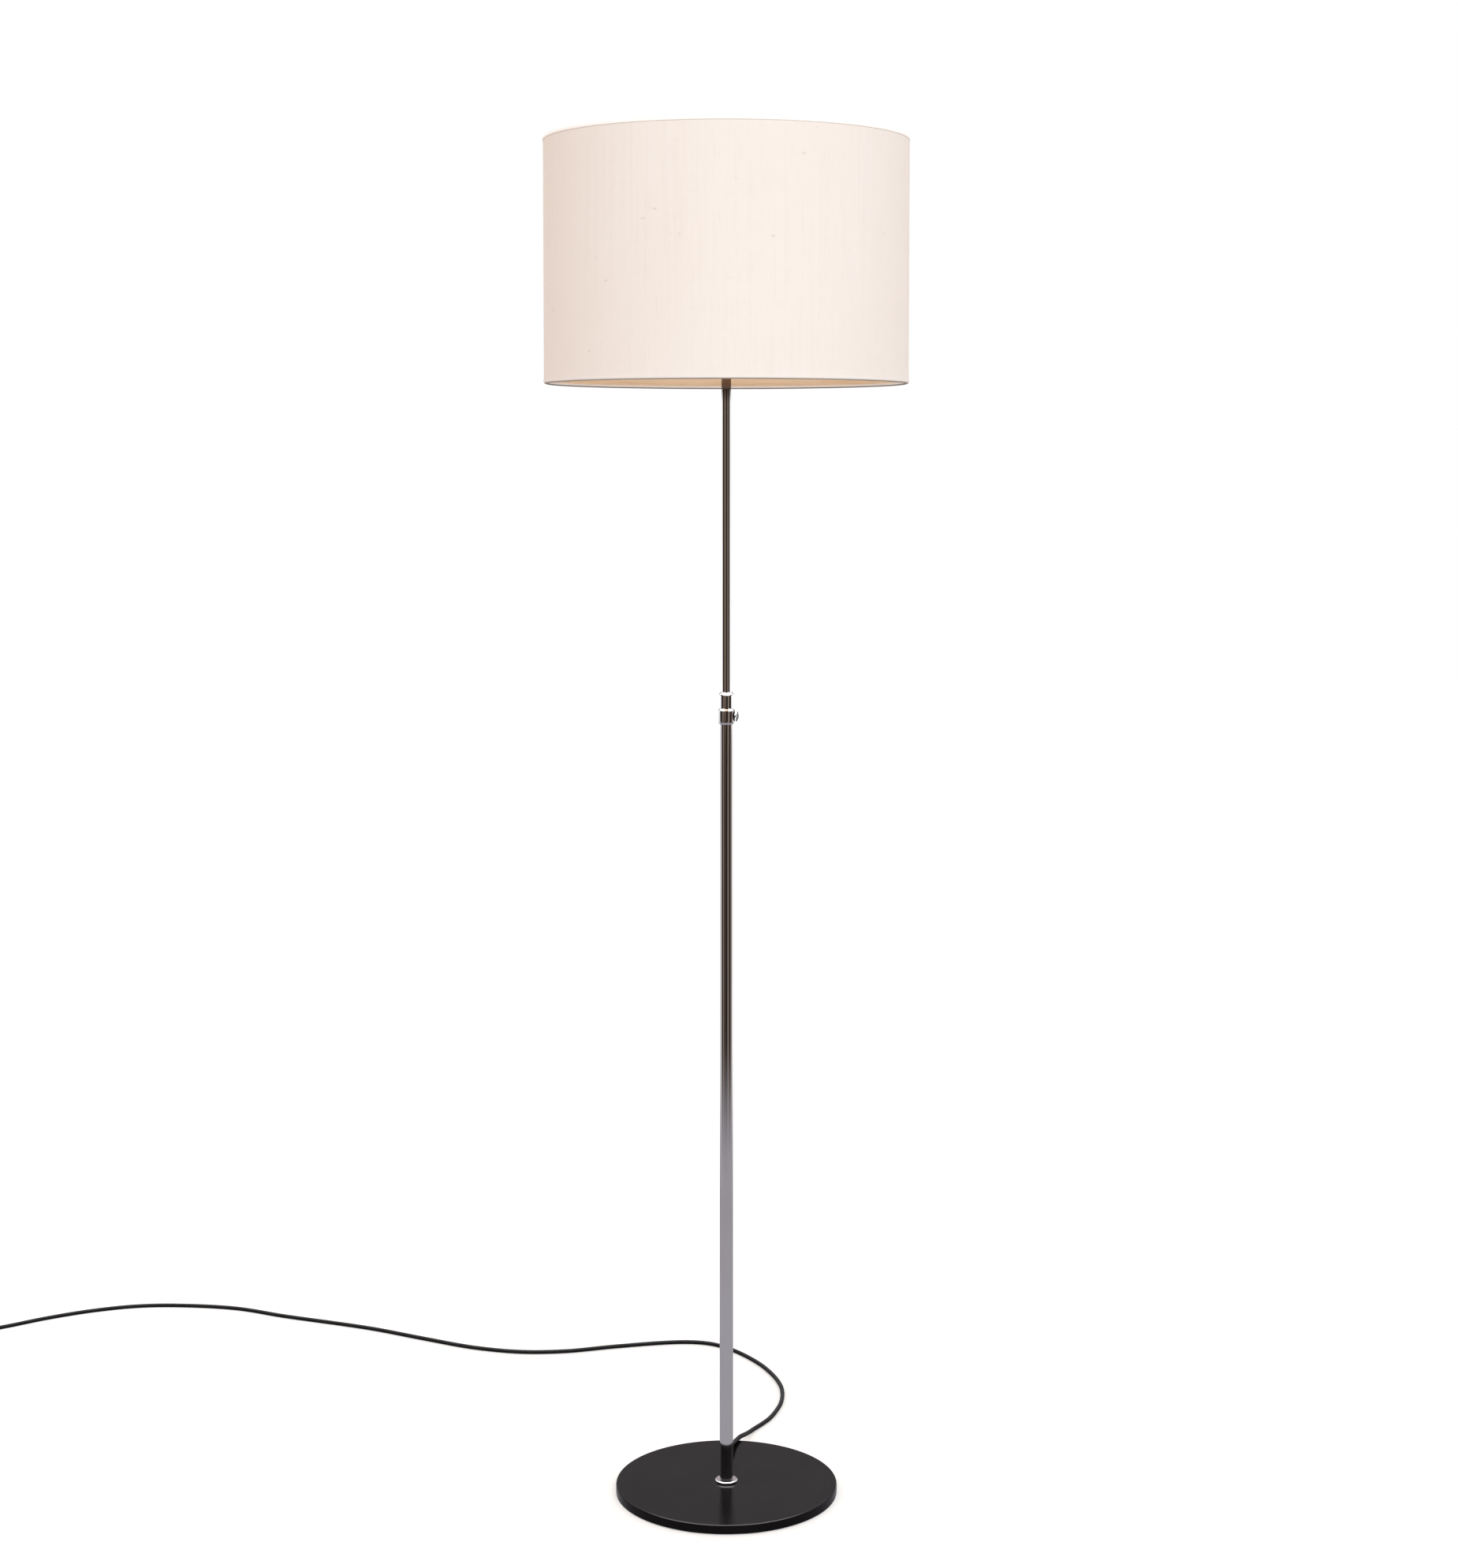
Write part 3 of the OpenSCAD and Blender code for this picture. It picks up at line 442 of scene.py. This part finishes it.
def line_curve(name, lines, radius, body, slot):
    """Round cords or wires along lines of points in millimetres, each one smooth spline."""
    curve = bpy.data.curves.new(name, "CURVE")
    curve.dimensions = "3D"
    curve.resolution_u = 6
    curve.bevel_depth = radius * MM
    curve.bevel_resolution = 6
    curve.use_fill_caps = True
    for line in lines:
        points = [Vector(p) * MM for p in line]
        spline = curve.splines.new("BEZIER")
        spline.bezier_points.add(len(points) - 1)
        for i, point in enumerate(points):
            knot = spline.bezier_points[i]
            before, after = points[max(i - 1, 0)], points[min(i + 1, len(points) - 1)]
            along = (after - before).normalized()
            knot.co = point
            knot.handle_left_type = knot.handle_right_type = "FREE"
            knot.handle_left = point - along * (point - before).length / 3
            knot.handle_right = point + along * (after - point).length / 3
    return finished(bpy.data.objects.new(name, curve), body, slot)


def turned(name, sections, body, slot, sharp_degrees=None):
    """A mesh piece round the lamp's axis, from (degrees, closed outline of radius and height) pairs."""
    points = []
    for degrees, outline in sections:
        c, s = math.cos(math.radians(degrees)), math.sin(math.radians(degrees))
        points += [(r * c, r * s, z) for r, z in outline]
    return mesh_piece(name, points, loop_faces(len(sections), len(outline)), body, slot, sharp_degrees)
# ---------- Cord ----------

ROUTE = [
    (0, 28.5, 36), (0, 36, 36), (0.4, 46, 35.5), (1.4, 58, 33.4), (3, 72, 29.6), (5, 87, 25), (7.6, 104, 20.4),
    (10.5, 120, 17), (14, 133, 15.1), (17.8, 144, 14.5), (21.5, 156, 11.9), (26, 171, 8.3), (31, 187, 5.1),
    (38, 204, 3.4), (47, 220), (58, 241), (67, 267), (75, 300), (78, 336), (76, 370), (66, 412), (45, 463),
    (10, 516), (-26, 546), (-75, 552), (-165, 533), (-235, 513), (-302, 510), (-373, 529), (-448, 567),
    (-540, 616), (-676, 671), (-752, 706), (-828, 720), (-904, 719), (-972, 697), (-1034, 662),
    (-1088, 622), (-1119, 603, 3.3), (-1150, 600, COIL_Z)]
ROUTE = [p if len(p) == 3 else (*p, FLOOR_Z) for p in ROUTE]
COIL_CENTRE = (-1150, 636)
COIL_OUT_R, COIL_PITCH, TURNS_IN, TURNS_OUT, COIL_STEPS = 36, 6, 2, 1.5, 24
COIL_IN_R = COIL_OUT_R - COIL_PITCH * TURNS_IN
PLUG_X, PLUG_Y, PLUG_Z = -1200, 603, 6.85
TAIL_FALL = 7
TIE_FROM_R, TIE_TO_R, TIE_INNER_H, TIE_T, TIE_W, TIE_CHAMFER = 24.4, 32.4, 12.0, 0.8, 6.0, 0.2


def coil_point(k):
    """Point of the coil after k steps: turns inwards on the floor, then a climb and turns outwards on top."""
    turn = k / COIL_STEPS
    climb = turn - TURNS_IN
    if climb <= 0:
        r = COIL_OUT_R - COIL_PITCH * turn
    elif climb <= 0.5:
        r = COIL_IN_R - COIL_PITCH / 4 * math.sin(2 * math.pi * climb)
    else:
        r = COIL_IN_R + COIL_PITCH * (climb - 0.5)
    t = min(max(2 * climb, 0), 1)
    z = COIL_Z + COIL_PITCH * t * t * (3 - 2 * t)
    angle = math.radians(-90) - 2 * math.pi * turn
    return COIL_CENTRE[0] + r * math.cos(angle), COIL_CENTRE[1] + r * math.sin(angle), z


coil = [coil_point(k) for k in range(1, int((TURNS_IN + 0.5 + TURNS_OUT) * COIL_STEPS) + 1)]
tail_x = COIL_CENTRE[0] - COIL_OUT_R + COIL_PITCH
top_z = COIL_Z + COIL_PITCH
tail = [(tail_x, PLUG_Y, top_z), (tail_x - TAIL_FALL, PLUG_Y, (top_z + PLUG_Z) / 2),
        (PLUG_X + CORD_D, PLUG_Y, PLUG_Z), (PLUG_X, PLUG_Y, PLUG_Z)]
cord = line_curve("mains_cord", [ROUTE + [(COIL_CENTRE[0] - CORD_D, ROUTE[-1][1], COIL_Z)] + coil + tail],
                  CORD_D / 2, "stand", "cord_sheath")
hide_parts("cord_run", "cord_coil")


def strap():
    """Soft strap round the coil's turns: one closed band, flattened above and below."""
    inner = TIE_INNER_H / 2
    mid = inner + TIE_T / 2
    line = []
    for end_r, first in ((TIE_TO_R, -90), (TIE_FROM_R, 90)):
        for degrees in range(first, first + 181, 10):
            turn = math.radians(degrees)
            line.append((end_r + mid * math.cos(turn), mid * math.sin(turn)))
    w, t, c = TIE_W / 2, TIE_T / 2, TIE_CHAMFER
    section = [(-w, c - t), (c - w, -t), (w - c, -t), (w, c - t), (w, t - c), (w - c, t), (c - w, t), (-w, t - c)]
    points = []
    for i, (y, z) in enumerate(line):
        y0, z0 = line[i - 1]
        y1, z1 = line[(i + 1) % len(line)]
        length = math.hypot(y1 - y0, z1 - z0)
        ny, nz = (z1 - z0) / length, -(y1 - y0) / length
        for across, out in section:
            points.append((COIL_CENTRE[0] + across, COIL_CENTRE[1] + y + ny * out, TIE_T + inner + z + nz * out))
    band = mesh_piece("cord_strap", points, loop_faces(len(line), len(section)), "stand", "cord_rubber", 50)
    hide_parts("cord_tie")
    return band


tie = strap()


# ---------- Shade ----------

# Beside each arm the cloth is only turned over the wire this many degrees, between these distances from the arm
NOTCH_TURN, NOTCH_FROM, NOTCH_TO = 142, 2.6, 4.2
# One end of the cloth lies over the other between these angles in degrees
LAP_RISE, LAP_FALL, LAP_H = (71.9, 72.1), (75.0, 75.12), 0.5
HEM_T = 0.55
CREASE_AT, CREASE_W, CREASE_DEPTH = 4.7, 0.35, 0.2
ROLL_STEPS = 22


def near_arm(angle):
    """How close an angle is to the nearest arm, in millimetres round the shade."""
    return min(abs((angle - a + 180) % 360 - 180) for a in ARM_ANGLES) * math.pi / 180 * SHADE_R


def smooth_step(value, low, high):
    t = min(max((value - low) / (high - low), 0), 1)
    return t * t * (3 - 2 * t)


def cloth_section(angle):
    """Closed outline of the cloth at one angle: up the outside, over both wires and tucked in behind them."""
    roll = ROLL_R - FABRIC_T / 2
    centre_r = SHADE_R - ROLL_R
    full = math.pi * roll + TUCK
    short = math.radians(NOTCH_TURN) * roll
    reach = short + (full - short) * smooth_step(near_arm(angle), NOTCH_FROM, NOTCH_TO)
    lap = LAP_H * smooth_step(angle, *LAP_RISE) * (1 - smooth_step(angle, *LAP_FALL))
    sway = 0.12 * math.sin(math.radians(angle * 7) + 1.3) + 0.08 * math.sin(math.radians(angle * 17))

    def wrapped(s, sign, edge):
        """Point at length s over a wire from the outer face, and the direction out of the cloth."""
        turn = min(s / roll, math.pi)
        drop = s - math.pi * roll if s > math.pi * roll else 0
        r = centre_r + roll * math.cos(turn)
        z = edge + sign * (roll * math.sin(turn) - drop)
        return (r, z), (math.cos(turn), sign * math.sin(turn))

    ends = []
    for sign, edge in ((-1, SHADE_BOTTOM + ROLL_R), (1, SHADE_TOP - ROLL_R)):
        end = [wrapped(reach * k / ROLL_STEPS, sign, edge) for k in range(ROLL_STEPS + 1)]
        rise = [((SHADE_R - FABRIC_T / 2, edge - sign * d), (1, 0)) for d in (0.6, 1.1, 1.4, 1.7, 2.1, 3, 6, 20)]
        ends.append(end[::-1] + rise)
    middle = [((SHADE_R - FABRIC_T / 2, SHADE_BOTTOM + 30 + 24 * k), (1, 0)) for k in range(11)]
    inside, outside = [], []
    for (r, z), (nr, nz) in ends[0] + middle + ends[1][::-1]:
        from_edge = min(SHADE_TOP - z, z - SHADE_BOTTOM)
        upper = z > SHADE_MIDDLE
        hem = smooth_step(from_edge, 4.0, 4.35) if upper else smooth_step(from_edge, 3.0, 7.0)
        fold = HEM_T * (1 - hem) if nr > 0 else HEM_T * (nr > -0.3)
        crease = CREASE_DEPTH * math.exp(-((from_edge - CREASE_AT) / CREASE_W) ** 2) * (nr > 0.9) * upper
        bow = (sway * smooth_step(from_edge, 2, 40) + lap) * (nr > 0)
        out = FABRIC_T / 2 + fold - crease
        outside.append((r + nr * out + max(bow, 0), z + nz * out))
        inside.append((r - nr * FABRIC_T / 2 * 0.9, z - nz * FABRIC_T / 2 * 0.9))
    return outside + inside[::-1]


def shade_sheet():
    """The cloth, with closer angles at its lap and at the notches beside the arms."""
    angles = {k * 0.75 for k in range(480)} | {*LAP_RISE, 72.0, *LAP_FALL, 75.06}
    for a in ARM_ANGLES:
        angles |= {a + side * d for d in (0.2, 0.4, 0.55, 0.66, 0.78, 0.9, 1.07, 1.3) for side in (-1, 1)}
    sections = [(angle, cloth_section(angle)) for angle in sorted(angles)]
    cloth = turned("shade_cloth", sections, "mast", "shade_fabric")
    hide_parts("shade_fabric")
    return cloth


cloth = shade_sheet()

# The three arms, each one bent wire
FITTER_R, SEAT_Z, ARM_RISE, ARM_LEVEL, ARM_R, END_GAP = 32.0, 1557.0, 0.75, 62.0, 2.0, 0.1
BEND_R, BEND_STEPS, PAST_BEND = 14.0, 6, 20
arm_z = SEAT_Z + ARM_RISE
arm_end_z = SHADE_TOP - ROLL_R
rim_ring_r = SHADE_R - FABRIC_T - LINER_T - WIRE_GAP - WIRE_R
slope = math.atan2(arm_end_z - arm_z, rim_ring_r - ARM_LEVEL)
bend = BEND_R * math.tan(slope / 2)
slant = math.hypot(rim_ring_r - ARM_LEVEL, arm_end_z - arm_z) - WIRE_R - END_GAP
arm = [(FITTER_R, arm_z), ((FITTER_R + ARM_LEVEL - bend) / 2, arm_z)]
for k in range(BEND_STEPS + 1):
    turn = slope * k / BEND_STEPS
    arm.append((ARM_LEVEL - bend + BEND_R * math.sin(turn), arm_z + BEND_R * (1 - math.cos(turn))))
arm += [(ARM_LEVEL + d * math.cos(slope), arm_z + d * math.sin(slope))
        for d in (bend + PAST_BEND, slant / 2, slant)]
arm_lines = [[(r * math.cos(math.radians(a)), r * math.sin(math.radians(a)), z) for r, z in arm]
             for a in ARM_ANGLES]
arms = line_curve("shade_arms", arm_lines, ARM_R, "mast", "white_wire")
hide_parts("fitter_arms")

# ---------- Base cover and felt ----------

BASE_R, BASE_TOP, COVER_WALL, BASE_EDGE_R, INNER_EDGE_R, HOLE_R = 140.0, 12.0, 1.5, 2.0, 0.5, 5.1
FELT_R, FELT_HOLE_R, FELT_T = 138.5, 16.0, 1.0


def base_cover():
    """The pressed cover as one smooth turned shell, open below."""
    def corner(r, z, edge_r, steps):
        """Points round a rounded corner, from its flat top to its upright side."""
        angles = [math.pi / 2 * (1 - k / steps) for k in range(steps + 1)]
        return [(r - edge_r + edge_r * math.cos(a), z - edge_r + edge_r * math.sin(a)) for a in angles]

    inner_r, inner_top, near = BASE_R - COVER_WALL, BASE_TOP - COVER_WALL, 0.05
    outer = corner(BASE_R, BASE_TOP, BASE_EDGE_R, 14)
    inner = corner(inner_r, inner_top, INNER_EDGE_R, 6)
    profile = [(HOLE_R, inner_top), (HOLE_R, BASE_TOP), (outer[0][0] - near, BASE_TOP), *outer,
               (BASE_R, outer[-1][1] - near), (BASE_R, FELT_T), (inner_r, FELT_T),
               (inner_r, inner[-1][1] - near), *inner[::-1], (inner[0][0] - near, inner_top)]
    cover = turned("base_shell", [(degrees, profile) for degrees in range(360)], "stand", "black_lacquer", 35)
    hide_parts("base_cover")


def felt_section(degrees):
    """Closed outline of the felt at one angle: flat, with a soft, slightly uneven edge."""
    a = math.radians(degrees)
    edge = FELT_R + 0.15 * math.sin(9 * a) + 0.1 * math.sin(23 * a + 1)
    middle, low, high = (FELT_HOLE_R + FELT_R) / 2, 0.02, FELT_T - 0.01
    return [(FELT_HOLE_R, 0.25), (FELT_HOLE_R + 0.25, low), (middle, low), (edge - 0.4, low),
            (edge - 0.15, 0.3), (edge - 0.15, 0.7), (edge - 0.4, high), (middle, high),
            (FELT_HOLE_R + 0.25, high), (FELT_HOLE_R, 0.75)]


def felt_pad():
    sections = [(degrees, felt_section(degrees)) for degrees in range(0, 360, 2)]
    pad = turned("base_felt_pad", sections, "stand", "felt", 60)
    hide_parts("base_felt")
    return pad


base_cover()
pad = felt_pad()

# ---------- Lead inside the outer tube ----------

LEAD_BOTTOM, LEAD_TOP, MAST_DOWN = 41.0, 870.0, 450
LEAD_ROWS, LEAD_SIDES = 40, 16


def inner_lead():
    """Round lead in many short lengths along the outer tube."""
    length = LEAD_TOP - LEAD_BOTTOM
    turns = [2 * math.pi * k / LEAD_SIDES for k in range(LEAD_SIDES)]
    points = [(CORD_D / 2 * math.cos(a), CORD_D / 2 * math.sin(a), LEAD_BOTTOM + length * i / (LEAD_ROWS - 1))
              for i in range(LEAD_ROWS) for a in turns]
    faces = loop_faces(LEAD_ROWS, LEAD_SIDES, close_rows=False)
    faces += [tuple(range(LEAD_SIDES)), tuple(range(len(points) - LEAD_SIDES, len(points)))]
    lead = mesh_piece("inner_lead", points, faces, "stand", "cord_sheath", 60)
    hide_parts("lower_lead")
    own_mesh(lead)


inner_lead()

# ---------- Floor, room and lamps ----------

FLOOR_GREY = (0.415, 0.398, 0.432)
FLOOR_HALF = 12


def floor_paper():
    """Paper that is white with soft shadows to the eye, and a grey patch round the lamp to bright metal."""
    paper = bpy.data.materials.new("floor paper")
    paper.use_nodes = True
    n = Nodes(paper.node_tree)
    n.tree.nodes.clear()
    ray = n.node("ShaderNodeLightPath").outputs
    place = n.node("ShaderNodeTexCoord").outputs["Object"]
    away = n.node("ShaderNodeVectorMath", {0: place}, operation="LENGTH").outputs["Value"]
    own = n.node("ShaderNodeBsdfDiffuse", {"Color": (0.78, 0.78, 0.78, 1)}).outputs[0]
    brighter = n.spread(away, 0.4, 3.0, 0.34, 1.0, smooth=False)
    lift = n.node("ShaderNodeEmission", {"Color": (1, 1, 1, 1), "Strength": brighter}).outputs[0]
    seen = n.node("ShaderNodeAddShader", {0: own, 1: lift}).outputs[0]
    near = n.node("ShaderNodeEmission", {"Color": (*FLOOR_GREY, 1), "Strength": 1.0}).outputs[0]
    far = n.node("ShaderNodeBsdfTransparent").outputs[0]
    mirrored = n.shader_mix(n.spread(away, 1.35, 2.6), near, far)
    plain = n.shader_mix(ray["Is Camera Ray"], own, seen)
    n.node("ShaderNodeOutputMaterial", {0: n.shader_mix(ray["Is Glossy Ray"], plain, mirrored)})
    return paper


floor_mesh = bpy.data.meshes.new("floor")
corners = [(x * FLOOR_HALF, y * FLOOR_HALF, 0) for x, y in ((-1, -1), (1, -1), (1, 1), (-1, 1))]
floor_mesh.from_pydata(corners, [], [(0, 1, 2, 3)])
floor_mesh.materials.append(floor_paper())
floor = bpy.data.objects.new("floor", floor_mesh)
scene.collection.objects.link(floor)
floor.location.z = -0.0002

DARK, WARM, BROWN, TAN = (0.022, 0.015, 0.012), (0.06, 0.043, 0.034), (0.19, 0.138, 0.108), (0.27, 0.21, 0.175)
PALE, GREY, PEARL, WHITE = (0.36, 0.30, 0.265), (0.62, 0.60, 0.61), (0.95, 0.94, 0.95), (1.3, 1.29, 1.3)
CREAM = (0.92, 0.905, 0.88)


def bearings(values):
    """Stops of a ramp round the room, from (degrees right of the camera's side, colour) pairs."""
    return [(0.5 + degrees / 360, colour) for degrees, colour in values]


def studio():
    """White to the eye; in bright metal dark walls with pale cards and a lit ceiling; soft light for the rest."""
    world = bpy.data.worlds.new("studio")
    world.use_nodes = True
    n = Nodes(world.node_tree)
    n.tree.nodes.clear()
    ray = n.node("ShaderNodeLightPath").outputs
    x, y, z = n.axes(n.node("ShaderNodeTexCoord").outputs["Generated"])
    bearing = n.math("ARCTAN2", x, n.math("MULTIPLY", y, -1.0))
    turn = n.spread(bearing, -math.pi, math.pi, smooth=False)
    low = n.ramp(turn, bearings([
        (-172, DARK), (-155, PEARL), (-112, PEARL), (-98, GREY), (-90, GREY), (-80, DARK), (-62, DARK),
        (-54, TAN), (-45, TAN), (-38, WARM), (-8, WARM), (0, DARK), (18, DARK), (24, PALE), (34, PALE),
        (42, DARK), (62, DARK), (70, BROWN), (97, BROWN), (106, PEARL), (152, PEARL), (168, DARK)]))
    high = n.ramp(turn, bearings([
        (-172, DARK), (-155, WHITE), (-104, WHITE), (-93, DARK), (-62, DARK), (-52, BROWN), (-8, BROWN),
        (2, DARK), (26, DARK), (32, PALE), (44, PALE), (52, DARK), (86, DARK), (95, WHITE), (152, WHITE),
        (168, DARK)]))
    walls = n.mix(n.spread(z, -0.105, -0.09, smooth=False), low, high)
    upward = n.spread(z, 0.12, 0.3)
    behind = n.spread(y, 0.1, 0.5)
    shaded = n.mix(upward, walls, (0.03, 0.022, 0.02))
    dimmed = n.mix(n.math("MULTIPLY", upward, behind), shaded, (0.48, 0.43, 0.46))
    ceiling = n.spread(z, 0.7, 0.85, 1.5, 14.0)
    overhead = n.node("ShaderNodeVectorMath", {0: (1, 1, 1), "Scale": ceiling}, operation="SCALE").outputs[0]
    room = n.mix(n.spread(z, 0.42, 0.5), dimmed, overhead)
    side = n.spread(x, -1.0, 1.0, smooth=False)
    soft = n.ramp(side, [(0.0, (1.0, 0.72, 0.58)), (0.35, CREAM), (0.65, CREAM), (1.0, (0.90, 0.76, 0.70))])
    lit = n.mix(ray["Is Glossy Ray"], soft, room)
    clear = n.math("MAXIMUM", ray["Is Camera Ray"], ray["Is Transmission Ray"])
    glow = n.node("ShaderNodeBackground", {0: n.mix(clear, lit, (1, 1, 1)), 1: 1.0})
    n.node("ShaderNodeOutputWorld", {0: glow.outputs[0]})
    return world


scene.world = studio()


def softbox(name, place, target, width, height, watts):
    data = bpy.data.lights.new(name, "AREA")
    data.shape = "RECTANGLE"
    data.size, data.size_y, data.energy = width, height, watts
    lamp = bpy.data.objects.new(name, data)
    scene.collection.objects.link(lamp)
    lamp.location = place
    lamp.rotation_euler = (Vector(target) - Vector(place)).to_track_quat("-Z", "Y").to_euler()
    lamp.visible_glossy = False


softbox("key", (0.9, -3.0, 2.6), (0, 0, 1.2), 1.8, 1.8, 27)

scene.view_settings.view_transform = "Standard"
